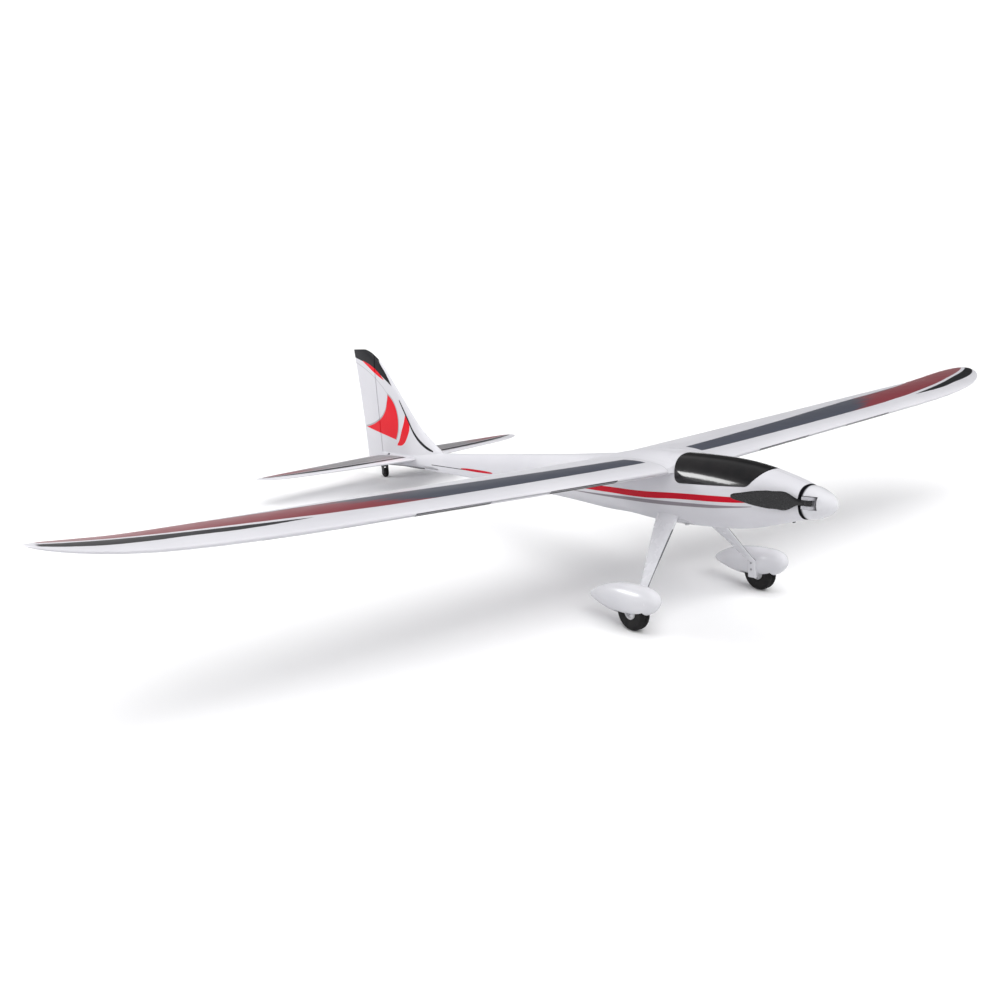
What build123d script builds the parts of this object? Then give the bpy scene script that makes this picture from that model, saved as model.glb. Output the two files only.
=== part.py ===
"""Electric model glider, 1.5 m span, standing on a two-wheel main gear and a tail wheel.

The aeroplane is drawn level in its own flight frame: X to the left wing tip, Y aft, Z up, with the
thrust line along Y through the origin. stand() then pitches it nose up onto its three wheels and
moves it so that the origin is at the centre of its bounding box, on the ground.
"""
from build123d import *
import os
from math import cos, pi, radians, sin, sqrt, tan

# ---------------------------------------------------------------- driving dimensions (mm, degrees)
SPAN = 1500.0
HALF_SPAN = SPAN / 2

# Stance on the ground
STANCE_PITCH = 8.0
STANCE_Y = -304.179
STANCE_Z = 151.03

# Wing
WING_ROOT_X = 42.0
WING_LE_Y = -3.5
WING_LE_SWEEP = 0.0093
WING_CHORD_Z = 24.7
WING_DIHEDRAL = 0.04
WING_CHORD = 168.4
WING_TAPER = 0.1895
WING_THICKNESS = 0.103
WING_CAMBER = 0.02
TIP_Y = 114.0
TIP_LE_START_X = 475.0
TIP_LE_POWER = 1.94
TIP_TE_LENGTH = 61.3
TIP_RISE = 9.2
TIP_RISE_START_X = 629.0
TIP_OVERRUN = 0.4
TE_HALF_THICKNESS = 0.005
ROOT_FLARE = 10.0
SPAR_Y = 47.0
SPAR_Z = 32.6
SPAR_RADIUS = 4.0
SPAR_HALF_LENGTH = 190.0

# Fuselage: station, half width, top, bottom
FUSELAGE_STATIONS = [
    (-178.0, 19.7, 20.0, -19.2),
    (-160.0, 24.5, 25.5, -23.5),
    (-135.0, 29.0, 31.8, -30.0),
    (-105.0, 33.0, 37.6, -37.0),
    (-60.0, 35.5, 42.0, -42.5),
    (0.0, 36.0, 43.2, -45.0),
    (60.0, 34.5, 39.4, -44.0),
    (130.0, 30.0, 34.0, -41.0),
    (200.0, 25.0, 28.5, -37.5),
    (290.0, 19.5, 22.0, -33.5),
    (400.0, 14.5, 14.0, -30.0),
    (520.0, 11.0, 7.0, -27.0),
    (612.0, 8.7, 2.8, -25.6),
    (700.0, 7.0, 0.0, -24.0),
    (740.0, 6.0, -1.0, -22.5),
]
SECTION_POWER = 2.3
FIREWALL_Y = -178.0
TAIL_END_Y = 740.0
BAY_FIRST = -135.0
BAY_LAST = 200.0
BOOM_LAST = 612.0
SHELL_WALL = 5.0
BOOM_WALL = 3.5
MOTOR_TUNNEL_RADIUS = 16.5

# Hatch: side outline (y, z) from the rear top corner, and the fit round it
HATCH_OUTLINE = [(10.9, 60.0), (-6.8, 12.4), (-114.0, 16.2), (-152.0, 60.0)]
HATCH_REAR_CORNER = 10.0
HATCH_FRONT_CORNER = 9.0
HATCH_WALL = 2.5
HATCH_GAP = 0.4

# Tail
RUDDER_HINGE_Y = 732.0
STAB_Z = -8.6
STAB_HALF_SPAN = 253.8
STAB_LE_Y = 620.0
STAB_LE_SWEEP = 0.19
STAB_TE_Y = 742.5
STAB_TE_SWEEP = -0.1
STAB_TIP_Y = 705.0
STAB_THICKNESS = 0.07
ELEVATOR_HINGE_Y = 702.0
ELEVATOR_INNER_X = 16.0
ELEVATOR_OUTER_X = 236.0
FIN_TOP_Z = 172.4
FIN_LE_Y = 567.7
FIN_LE_SWEEP = 0.975
FIN_ROUND_START_Z = 140.0
FIN_ROUND_DEPTH = 34.0
FIN_HALF_THICKNESS_ROOT = 6.2
FIN_HALF_THICKNESS_TOP = 3.0
RUDDER_BOTTOM_Z = -21.0
JOINER_Y = 710.0
JOINER_RADIUS = 1.0
JOINER_HOLE_RADIUS = 4.9

# Ailerons
AILERON_HINGE_Y = 115.0
AILERON_INNER_X = 395.0
AILERON_OUTER_X = 655.0
HINGE_GAP = 0.7
HINGE_BEVEL = 28.0

# Propeller and motor
SPINNER_RADIUS = 19.2
SPINNER_TIP_Y = -213.2
SPINNER_WALL = 1.8
BACKPLATE_FRONT_Y = -183.0
BACKPLATE_REAR_Y = -180.0
HUB_FRONT_Y = -197.0
PIN_RADIUS = 1.5
PIN_X = 18.5
PIN_Y = -190.0
PROP_CLOCK = 10.0
BLADE_LENGTH = 88.0
BLADE_FOLD = 21.3
YOKE_HALF_WIDTH = 23.5
YOKE_HALF_DEPTH = 5.0
YOKE_HALF_HEIGHT = 6.7
TONGUE_HALF_HEIGHT = 3.0
TONGUE_RADIUS = 4.4
TONGUE_GAP = 0.3
MOUNT_RADIUS = 17.0
MOUNT_THICKNESS = 4.0
MOTOR_SCREW_CIRCLE = 9.5
STATOR_RADIUS = 10.5
BELL_RADIUS = 14.0
BELL_INNER_RADIUS = 12.0
BELL_LENGTH = 24.0
SHAFT_RADIUS = 1.5
RUNNING_CLEARANCE = 0.05

# Blade sections: distance from the pin, chord, thickness, pitch (degrees)
BLADE_SECTIONS = [
    (4.5, 5.4, 4.2, 0.0),
    (10.0, 6.4, 4.0, 4.0),
    (17.0, 13.0, 3.4, 12.0),
    (23.0, 20.0, 3.1, 16.0),
    (30.0, 22.3, 2.8, 18.0),
    (44.0, 21.0, 2.4, 16.0),
    (58.0, 17.8, 2.1, 14.0),
    (70.0, 13.0, 1.8, 12.0),
    (80.0, 8.8, 1.5, 10.5),
    (86.0, 5.8, 1.2, 10.0),
    (BLADE_LENGTH, 3.6, 1.0, 10.0),
]

# Equipment
TRAY_TOP = -22.0
TRAY_THICKNESS = 2.5
BATTERY_HALF_WIDTH = 17.0
BATTERY_FRONT_Y = -106.0
BATTERY_REAR_Y = -4.0
BATTERY_HEIGHT = 25.0
STRAP_THICKNESS = 1.0
CONTROLLER_HEIGHT = 9.0
RECEIVER_HEIGHT = 12.0

# Undercarriage
WHEEL_X = 111.3
WHEEL_Y = -2.9
WHEEL_Z = -130.2
WHEEL_RADIUS = 22.5
WHEEL_WIDTH = 15.0
HUB_RADIUS = 8.5
WHEEL_CENTRE = (WHEEL_X, WHEEL_Y, WHEEL_Z)
WELL_HALF_WIDTH = 9.5
WELL_CLEARANCE = 2.5
WIRE_RADIUS = 1.5
GEAR_WIRE_Z = -36.5
GEAR_WIRE_BEND_X = 31.0
GEAR_BLOCK_TOP = -32.0
GEAR_SCREW_FACE_Z = -41.0
LEG_ROOT = (34.0, 14.0, -37.0)
LEG_FOOT = (97.5, -3.5, -113.0)
TAIL_WHEEL_Y = 738.8
TAIL_WHEEL_Z = -40.6
TAIL_WHEEL_CENTRE = (0, TAIL_WHEEL_Y, TAIL_WHEEL_Z)
TAIL_WHEEL_RADIUS = 8.0
TAIL_WHEEL_WIDTH = 6.0
TAIL_HUB_RADIUS = 4.5
TAIL_AXLE_RADIUS = 1.0
FORK_ARM_X = 4.2

# Leg fairing sections: share of the way down, chord, thickness
LEG_SECTIONS = [
    (-0.12, 36.0, 8.0),
    (0.1, 33.0, 7.5),
    (0.5, 23.0, 6.5),
    (1.0, 12.5, 5.5),
]

# Wheel pant sections: station, half width, top, bottom
PANT_STATIONS = [
    (-47.0, 1.6, -109.5, -112.5),
    (-44.0, 7.5, -102.5, -119.5),
    (-36.0, 11.5, -98.0, -126.5),
    (-20.0, 14.4, -96.3, -132.5),
    (0.0, 15.2, -96.2, -135.0),
    (22.0, 13.8, -98.2, -135.0),
    (45.0, 10.2, -103.5, -132.0),
    (62.0, 6.0, -110.5, -127.3),
    (72.0, 2.4, -117.0, -123.0),
    (74.0, 0.8, -119.2, -121.2),
]

# Servos and linkages
LINKAGE_X = 470.0
WING_ARM = 15.0
WING_SERVO_Y = -48.0
WING_SERVO_Z = -5.0
SERVO_LENGTH = 23.0
SERVO_HEIGHT = 22.0
SERVO_WIDTH = 11.0
SERVO_AXIS_INSET = 6.0
SPLINE_RADIUS = 2.4
ARM_OFFSET = 0.4
ARM_THICKNESS = 1.6
ARM_GAP = 2.0
ROD_RADIUS = 0.8
PEG_RADIUS = 0.8
PEG_LENGTH = 3.6
OPEN_PIVOT_RADIUS = 1.5
ELEVATOR_ARM = 11.0
RUDDER_ARM = 12.0
ELEVATOR_SERVO_Y = 92.0
ELEVATOR_SERVO_Z = -8.6
RUDDER_SERVO_X = -8.0
RUDDER_SERVO_Y = 132.0
RUDDER_ROD_Z = -17.0
ELEVATOR_ROD_Z = STAB_Z - ELEVATOR_ARM
ELEVATOR_ROD = [
    (-4.0, ELEVATOR_SERVO_Y, ELEVATOR_ROD_Z),
    (-5.0, 545.0, ELEVATOR_ROD_Z),
    (-20.0, 690.0, ELEVATOR_ROD_Z),
    (-20.0, ELEVATOR_HINGE_Y, ELEVATOR_ROD_Z),
]
RUDDER_ROD = [
    (4.0, RUDDER_SERVO_Y, RUDDER_ROD_Z),
    (4.5, 565.0, RUDDER_ROD_Z),
    (12.0, 680.0, RUDDER_ROD_Z),
    (12.0, RUDDER_HINGE_Y, RUDDER_ROD_Z),
]


# ---------------------------------------------------------------- frames and small helpers
def stand(shape):
    """Pitch a part from the flight frame onto the ground."""
    return Pos(0, STANCE_Y, STANCE_Z) * Rot(X=-STANCE_PITCH) * shape


def mirrored(shape):
    """The right-hand copy of a left-hand part."""
    return mirror(shape, about=Plane.YZ)


def block(x0, x1, y0, y1, z0, z1):
    """Box between two corners."""
    centre = Pos((x0 + x1) / 2, (y0 + y1) / 2, (z0 + z1) / 2)
    return centre * Box(x1 - x0, y1 - y0, z1 - z0)


def rod(start, end, radius):
    """Round bar from one point to another."""
    axis = Vector(*end) - Vector(*start)
    plane = Plane(origin=start, z_dir=axis)
    return extrude(plane * Circle(radius), amount=axis.length)


def bent_rod(points, radius):
    """Round bar along straight runs, with ball-rounded bends."""
    bar = rod(points[0], points[1], radius)
    for start, end in zip(points[1:], points[2:]):
        bar += Pos(*start) * Sphere(radius)
        bar += rod(start, end, radius)
    return bar


def closed_spline(points):
    return Wire([Spline(*points, periodic=True)])


# ---------------------------------------------------------------- fuselage surfaces
def fuselage_section(station, inset):
    """Rounded cross-section at one station, pulled in by the inset."""
    y, half_width, top, bottom = station
    half_width -= inset
    half_height = (top - bottom) / 2 - inset
    middle = (top + bottom) / 2
    count = 16
    points = []
    for i in range(count):
        angle = 2 * pi * i / count
        across = abs(cos(angle)) ** (2 / SECTION_POWER)
        upward = abs(sin(angle)) ** (2 / SECTION_POWER)
        x = half_width * (across if cos(angle) >= 0 else -across)
        z = middle + half_height * (upward if sin(angle) >= 0 else -upward)
        points.append((x, y, z))
    return closed_spline(points)


def fuselage_body(inset, first, last):
    """Loft of the fuselage from one station to another, as a closed solid."""
    wires = [fuselage_section(s, inset) for s in FUSELAGE_STATIONS if first <= s[0] <= last]
    return Solid.make_loft(wires)


# ---------------------------------------------------------------- wing and tail surfaces
def half_thickness(s, thickness):
    """Symmetric section: half thickness per unit chord at chord fraction s."""
    poly = 0.2969 * sqrt(s) - 0.1260 * s - 0.3516 * s**2 + 0.2843 * s**3 - 0.1036 * s**4
    return 5 * thickness * poly + TE_HALF_THICKNESS * s


def section_points(front, back, thickness, camber):
    """Profile from the upper trailing edge round the nose to the lower one, as (y, height)."""
    chord = back - front
    steps = 9
    fractions = [(1 - cos(pi * i / steps)) / 2 for i in range(steps + 1)]
    upper = []
    lower = []
    for s in fractions:
        middle = 4 * camber * s * (1 - s)
        half = half_thickness(s, thickness)
        upper.append((front + chord * s, chord * (middle + half)))
        lower.append((front + chord * s, chord * (middle - half)))
    return list(reversed(upper)) + lower[1:]


def profile_wire(points):
    return Wire([Spline(*points), Line(points[-1], points[0])])


def wing_outline(x):
    """Leading edge, trailing edge and chord height of the wing at spanwise place x."""
    outline_end = HALF_SPAN + TIP_OVERRUN
    front = WING_LE_Y + WING_LE_SWEEP * x
    back = front + WING_CHORD * (1 - WING_TAPER * x / HALF_SPAN)
    tip_front = WING_LE_Y + WING_LE_SWEEP * HALF_SPAN
    tip_back = tip_front + WING_CHORD * (1 - WING_TAPER)
    u = max(0.0, (x - TIP_LE_START_X) / (outline_end - TIP_LE_START_X))
    front += (1 - (1 - u**TIP_LE_POWER) ** (1 / TIP_LE_POWER)) * (TIP_Y - tip_front)
    v = max(0.0, (x - outline_end + TIP_TE_LENGTH) / TIP_TE_LENGTH)
    back -= (1 - sqrt(1 - v**2)) * (tip_back - TIP_Y)
    rise = max(0.0, (x - TIP_RISE_START_X) / (HALF_SPAN - TIP_RISE_START_X)) ** 2
    height = WING_CHORD_Z + WING_DIHEDRAL * x + TIP_RISE * rise
    return front, back, height


def wing_wire(x, flare=0.0):
    """Wing section at x. A flare grows it into the fuselage fairing."""
    front, back, height = wing_outline(x)
    front -= flare
    back += 0.6 * flare
    thickness = WING_THICKNESS + 1.1 * flare / (back - front)
    points = section_points(front, back, thickness, WING_CAMBER)
    return profile_wire([(x, y, height + h) for y, h in points])


def wing_surface():
    """Left wing panel before its ailerons and pockets are cut."""
    stations = [WING_ROOT_X, 475, 520, 560, 595, 629, 655, 680, 700]
    stations += [715, 727, 736, 743, 747, 749.3, HALF_SPAN]
    return Solid.make_loft([wing_wire(x) for x in stations], ruled=True)


def wing_root_fairing():
    """Left half of the wing saddle, flared where the wing meets the fuselage side."""
    wires = []
    for x in [0, 7, 14, 21, 28, 35, WING_ROOT_X]:
        flare = ROOT_FLARE * (1 + cos(pi * x / WING_ROOT_X)) / 2
        wires.append(wing_wire(x, flare))
    return Solid.make_loft(wires, ruled=True)


def stab_outline(x):
    front = STAB_LE_Y + STAB_LE_SWEEP * x
    back = STAB_TE_Y + STAB_TE_SWEEP * x
    outline_end = STAB_HALF_SPAN + 0.3
    u = max(0.0, (x - 195.0) / (outline_end - 195.0))
    front += (1 - sqrt(1 - u**2)) * (STAB_TIP_Y - STAB_LE_Y - STAB_LE_SWEEP * STAB_HALF_SPAN)
    v = max(0.0, (x - 239.0) / (outline_end - 239.0))
    back -= (1 - sqrt(1 - v**2)) * (STAB_TE_Y + STAB_TE_SWEEP * STAB_HALF_SPAN - STAB_TIP_Y)
    return front, back


def stab_surface():
    """Left half of the tailplane before the elevator is cut."""
    wires = []
    for x in [0, 195, 212, 225, 236, 244, 250, STAB_HALF_SPAN]:
        front, back = stab_outline(x)
        points = section_points(front, back, STAB_THICKNESS, 0.0)
        wires.append(profile_wire([(x, y, STAB_Z + h) for y, h in points]))
    return Solid.make_loft(wires, ruled=True)


def fin_outline(z):
    """Leading and trailing edge of the fin at height z: flared base, straight sweep, round top."""
    base = max(z, 0.0)
    front = FIN_LE_Y + FIN_LE_SWEEP * base - 34 * max(0.0, (55 - base) / 55) ** 2
    u = max(0.0, (z - FIN_ROUND_START_Z) / (FIN_TOP_Z + 0.3 - FIN_ROUND_START_Z))
    front += FIN_ROUND_DEPTH * (1 - sqrt(1 - u**2))
    back = 787.5 + 0.04 * z + 0.0003 * z**2
    return front, back


def fin_surface(bottom):
    """Fin and rudder as one blade, from the given height up."""
    heights = [bottom, 8, 18, 28, 40, 55, 95, FIN_ROUND_START_Z]
    heights += [148, 155, 160, 164, 167, 169.5, 171.2, 172.1, FIN_TOP_Z]
    thinning = FIN_HALF_THICKNESS_ROOT - FIN_HALF_THICKNESS_TOP
    wires = []
    for z in heights:
        front, back = fin_outline(z)
        half = FIN_HALF_THICKNESS_ROOT - thinning * max(z, 0.0) / FIN_TOP_Z
        thickness = min(2 * half / (back - front), 0.08)
        points = section_points(front, back, thickness, 0.0)
        wires.append(profile_wire([(h, y, z) for y, h in points]))
    return Solid.make_loft(wires, ruled=True)


# ---------------------------------------------------------------- hinge lines
def hinge_plane(start, direction):
    """Plane across a hinge line: local x is aft, local y away from the surface, z along the line."""
    return Plane(origin=start, x_dir=(0, 1, 0), z_dir=direction)


def behind_hinge(plane, length, upper_bevel, lower_bevel, gap):
    """Everything aft of a hinge line, with the nose bevelled on each side."""
    reach = 30.0
    depth = 120.0
    outline = Polyline(
        (gap, 0),
        (gap + reach * tan(radians(upper_bevel)), reach),
        (depth, reach),
        (depth, -reach),
        (gap + reach * tan(radians(lower_bevel)), -reach),
        close=True,
    )
    return extrude(plane * make_face(outline), amount=length)


def aileron_hinge():
    """Start point and direction of the left aileron's hinge line, on the upper skin."""
    front, back, height = wing_outline(AILERON_INNER_X)
    chord = back - front
    s = (AILERON_HINGE_Y - front) / chord
    skin = chord * (4 * WING_CAMBER * s * (1 - s) + half_thickness(s, WING_THICKNESS))
    start = Vector(AILERON_INNER_X, AILERON_HINGE_Y, height + skin - 0.3)
    return start, Vector(1, 0, WING_DIHEDRAL - 0.003).normalized()


AILERON_START, AILERON_AXIS = aileron_hinge()
AILERON_LENGTH = AILERON_OUTER_X - AILERON_INNER_X
HALF_GAP = HINGE_GAP / 2


# ---------------------------------------------------------------- wing panel and aileron
def aileron():
    """Left aileron: the wing behind the hinge line, bevelled below so that it can drop."""
    plane = hinge_plane(AILERON_START + AILERON_AXIS * HINGE_GAP, AILERON_AXIS)
    region = behind_hinge(plane, AILERON_LENGTH - 2 * HINGE_GAP, 0, HINGE_BEVEL, HALF_GAP)
    return wing_surface() & region


def aileron_frame():
    """Frame of the left aileron linkage: local X along the hinge line, Y aft, Z up."""
    centre = AILERON_START + AILERON_AXIS * (LINKAGE_X - AILERON_INNER_X)
    up = AILERON_AXIS.cross(Vector(0, 1, 0))
    return Plane(origin=centre, x_dir=AILERON_AXIS, z_dir=up)


def wing_servo_pocket():
    """Servo bay open to the lower skin, with a slot for the arm (aileron frame)."""
    y0 = WING_SERVO_Y - SERVO_LENGTH + SERVO_AXIS_INSET
    y1 = WING_SERVO_Y + SERVO_AXIS_INSET
    top = WING_SERVO_Z + SERVO_WIDTH / 2
    bay = block(-SERVO_HEIGHT - 3, 0, y0, y1, -60, top)
    slot = block(0, 6.5, WING_SERVO_Y - 8, WING_SERVO_Y + 12, -60, WING_SERVO_Z + 4.5)
    return bay + slot


def wing_panel():
    """Left wing panel with its aileron bay, servo bay and spar socket."""
    panel = wing_surface()
    plane = hinge_plane(AILERON_START, AILERON_AXIS)
    panel -= behind_hinge(plane, AILERON_LENGTH, 0, 0, -HALF_GAP)
    panel -= aileron_frame().location * wing_servo_pocket()
    return panel - spar_tube()


def spar_tube():
    start = (-SPAR_HALF_LENGTH, SPAR_Y, SPAR_Z)
    end = (SPAR_HALF_LENGTH, SPAR_Y, SPAR_Z)
    return rod(start, end, SPAR_RADIUS)


# ---------------------------------------------------------------- fuselage shells and hatch
def hatch_region(grow):
    """Side outline of the hatch, drawn through the whole width."""
    face = make_face(Plane.YZ * Polyline(*HATCH_OUTLINE, close=True))
    front_corner = face.vertices().sort_by(Axis.Z)[:2].sort_by(Axis.Y)[0]
    face = fillet(front_corner, HATCH_FRONT_CORNER)
    rear_corner = face.vertices().sort_by(Axis.Z)[:3].sort_by(Axis.Y)[-1]
    face = fillet(rear_corner, HATCH_REAR_CORNER)
    if grow > 0:
        face = offset(face, grow)
    return extrude(face, amount=60, both=True)


def canopy_hatch():
    """Thin lift-off cover over the equipment bay."""
    outer = fuselage_body(0, -160, 60)
    inner = fuselage_body(HATCH_WALL, -160, 60)
    return (outer - inner) & hatch_region(0)


def rod_exit(points):
    """Channel along the boom and out through its wall where a pushrod bends outward."""
    channel = rod(points[0], points[1], 2.2) + Pos(*points[1]) * Sphere(2.2)
    return channel + rod(points[1], points[2], 2.6)


def fuselage_half():
    """Left moulded shell with its wing-root fairing and half of the fin."""
    left = block(0, 60, -300, 900, -100, 250)
    shell = fuselage_body(0, FIREWALL_Y, TAIL_END_Y) & left
    shell += wing_root_fairing()
    shell += fin_surface(-4.0) & left
    shell -= fuselage_body(SHELL_WALL, BAY_FIRST, BAY_LAST)
    shell -= fuselage_body(BOOM_WALL, BAY_LAST, BOOM_LAST)
    shell -= rod((0, FIREWALL_Y - 1, 0), (0, BAY_FIRST + 1, 0), MOTOR_TUNNEL_RADIUS)
    shell -= rod((0, FIREWALL_Y - 1, 0), (0, FIREWALL_Y + MOUNT_THICKNESS, 0), MOUNT_RADIUS)
    shell -= hatch_region(HATCH_GAP)
    shell -= block(-20, 20, RUDDER_HINGE_Y - HALF_GAP, 900, -60, 200)
    shell -= stab_panel()
    shell -= rod((-20, JOINER_Y, STAB_Z), (20, JOINER_Y, STAB_Z), JOINER_HOLE_RADIUS)
    shell -= spar_tube()
    shell -= gear_block_blank()
    return shell - leg()


# ---------------------------------------------------------------- tailplane, elevators, rudder
def elevator_region(length, start_x, gap, bevel):
    plane = hinge_plane((start_x, ELEVATOR_HINGE_Y, STAB_Z), (1, 0, 0))
    return behind_hinge(plane, length, bevel, bevel, gap)


def elevator():
    """Left elevator half with a symmetric V nose."""
    length = ELEVATOR_OUTER_X - ELEVATOR_INNER_X - HINGE_GAP
    return stab_surface() & elevator_region(length, ELEVATOR_INNER_X, HALF_GAP, HINGE_BEVEL)


def stab_panel():
    """Fixed tailplane through the fuselage, cut back to the elevator hinge line."""
    half = stab_surface()
    half -= elevator_region(ELEVATOR_OUTER_X, 0, -HALF_GAP, 0)
    return half + mirrored(half)


def elevator_joiner():
    """Wire across the tail post with a leg let into each elevator half."""
    x = ELEVATOR_INNER_X + 14.0
    return rod((-x, JOINER_Y, STAB_Z), (x, JOINER_Y, STAB_Z), JOINER_RADIUS)


def rudder():
    plane = Plane(origin=(0, RUDDER_HINGE_Y, RUDDER_BOTTOM_Z), x_dir=(0, 1, 0), z_dir=(0, 0, 1))
    region = behind_hinge(plane, 220, HINGE_BEVEL, HINGE_BEVEL, HALF_GAP)
    return fin_surface(RUDDER_BOTTOM_Z) & region


# ---------------------------------------------------------------- controls
def servo():
    """Micro servo lying on its side: output shaft along +X at the origin, body behind it."""
    body = block(
        -SERVO_HEIGHT - 1.5,
        -1.5,
        -SERVO_LENGTH + SERVO_AXIS_INSET,
        SERVO_AXIS_INSET,
        -SERVO_WIDTH / 2,
        SERVO_WIDTH / 2,
    )
    body = fillet(body.edges(), 0.8)
    body += rod((-2.0, 0, 0), (-0.3, 0, 0), 5.0)
    return body + rod((-1.0, 0, 0), (2.4, 0, 0), SPLINE_RADIUS)


def servo_arm(length):
    """Arm with its hub on the output shaft and a hole at the tip, pointing down."""
    inner = ARM_OFFSET
    outer = ARM_OFFSET + ARM_THICKNESS
    arm = rod((inner, 0, 0), (outer, 0, 0), 4.0)
    arm += rod((inner, 0, -length), (outer, 0, -length), 2.2)
    arm += block(inner, outer, -1.8, 1.8, -length, 0)
    arm -= rod((0, 0, 0), (5, 0, 0), SPLINE_RADIUS + RUNNING_CLEARANCE)
    return arm - rod((0, 0, -length), (5, 0, -length), PEG_RADIUS + RUNNING_CLEARANCE)


def horn(length, base_length, base_top):
    """Control horn in the plane of its pushrod: hole below the hinge line, foot aft of it."""
    outline = Polyline(
        (-2.2, -length - 1.5),
        (2.0, -length - 2.5),
        (base_length, base_top),
        (base_length, base_top + 2.2),
        (base_length - 9, base_top + 2.2),
        (base_length - 9, base_top),
        (-2.2, -length + 2.5),
        close=True,
    )
    plate = extrude(Plane.YZ * make_face(outline), amount=ARM_THICKNESS)
    return plate - rod((-1, 0, -length), (5, 0, -length), OPEN_PIVOT_RADIUS)


def rod_with_pegs(points, peg_side):
    """Pushrod whose ends are bent square to pass through the arm and the horn."""
    bar = bent_rod(points, ROD_RADIUS)
    for x, y, z in (points[0], points[-1]):
        bar += Pos(x, y, z) * Sphere(ROD_RADIUS)
        bar += rod((x, y, z), (x + peg_side * PEG_LENGTH, y, z), PEG_RADIUS)
    return bar


def wing_rod():
    """Aileron pushrod in the aileron frame, just outboard of the arm and the horn."""
    x = ARM_OFFSET + ARM_THICKNESS + ARM_GAP
    start = (x, WING_SERVO_Y, WING_SERVO_Z - WING_ARM)
    return rod_with_pegs([start, (x, 0, -WING_ARM)], -1)


def elevator_servo_place():
    """Shaft along -X, just inboard of the pushrod; the arm points down."""
    x = ELEVATOR_ROD[0][0] + ARM_OFFSET + ARM_THICKNESS + ARM_GAP
    return Pos(x, ELEVATOR_SERVO_Y, ELEVATOR_SERVO_Z)


def rudder_servo_place():
    """Shaft down, just above the pushrod."""
    z = RUDDER_ROD_Z + ARM_OFFSET + ARM_THICKNESS + ARM_GAP
    return Pos(RUDDER_SERVO_X, RUDDER_SERVO_Y, z) * Rot(Y=90)


def rudder_rod():
    """Rudder pushrod; its ends turn up through the arm and the horn plate."""
    bar = bent_rod(RUDDER_ROD, ROD_RADIUS)
    for x, y, z in (RUDDER_ROD[0], RUDDER_ROD[-1]):
        bar += Pos(x, y, z) * Sphere(ROD_RADIUS)
        bar += rod((x, y, z), (x, y, z + PEG_LENGTH), PEG_RADIUS)
    return bar


def elevator_rod():
    return rod_with_pegs(ELEVATOR_ROD, 1)


def elevator_horn():
    """Horn under the right elevator half, beside the pushrod."""
    x = ELEVATOR_ROD[-1][0] + ARM_GAP
    return Pos(x, ELEVATOR_HINGE_Y, STAB_Z) * horn(ELEVATOR_ARM, 16, -4.2)


def rudder_horn():
    """Flat arm out of the rudder's left side, above the pushrod."""
    z = RUDDER_ROD_Z + ARM_GAP
    top = z + ARM_THICKNESS
    back = RUDDER_HINGE_Y + 14
    plate = block(RUDDER_ARM - 2.4, RUDDER_ARM + 2.5, RUDDER_HINGE_Y - 2.6, back, z, top)
    plate += block(2.0, RUDDER_ARM + 2.5, RUDDER_HINGE_Y + 7, back, z, top)
    hole_start = (RUDDER_ARM, RUDDER_HINGE_Y, z - 1)
    hole_end = (RUDDER_ARM, RUDDER_HINGE_Y, top + 1)
    return plate - rod(hole_start, hole_end, OPEN_PIVOT_RADIUS)


# ---------------------------------------------------------------- motor, spinner and blades
def motor_mount():
    """Ring plate glued into the nose, with holes for the shaft and four screws."""
    plate = rod((0, FIREWALL_Y, 0), (0, FIREWALL_Y + MOUNT_THICKNESS, 0), MOUNT_RADIUS)
    plate -= rod((0, FIREWALL_Y - 1, 0), (0, FIREWALL_Y + 6, 0), 5.0)
    return plate - motor_screws()


def motor_screws():
    """Four screws through the mount into the motor's base."""
    screws = []
    for i in range(4):
        angle = radians(45 + 90 * i)
        x = MOTOR_SCREW_CIRCLE * cos(angle)
        z = MOTOR_SCREW_CIRCLE * sin(angle)
        head = rod((x, FIREWALL_Y, z), (x, FIREWALL_Y + 1.4, z), 2.6)
        screws.append(head + rod((x, FIREWALL_Y, z), (x, FIREWALL_Y + 7, z), 1.4))
    return Compound(screws)


def motor_stator():
    """Base disc, bearing tube and wound core."""
    base_y = FIREWALL_Y + MOUNT_THICKNESS
    core = rod((0, base_y, 0), (0, base_y + 3, 0), 12.5)
    core += rod((0, base_y, 0), (0, base_y + 25, 0), 4.0)
    core += rod((0, base_y + 8, 0), (0, base_y + 20, 0), STATOR_RADIUS)
    core -= rod((0, base_y - 1, 0), (0, base_y + 30, 0), SHAFT_RADIUS + RUNNING_CLEARANCE)
    return core - motor_screws()


def motor_bell():
    """Turning can with the shaft that carries the propeller."""
    front = FIREWALL_Y + MOUNT_THICKNESS + 5
    back = front + BELL_LENGTH
    bell = rod((0, front, 0), (0, back, 0), BELL_RADIUS)
    bell -= rod((0, front - 1, 0), (0, back - 2.5, 0), BELL_INNER_RADIUS)
    return bell + rod((0, back, 0), (0, HUB_FRONT_Y + 2, 0), SHAFT_RADIUS)


def blade_cutout(half_height):
    """Space for the yoke and the blade roots on both sides."""
    return block(-30, 30, -198.5, BACKPLATE_REAR_Y + 1, -half_height, half_height)


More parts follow.
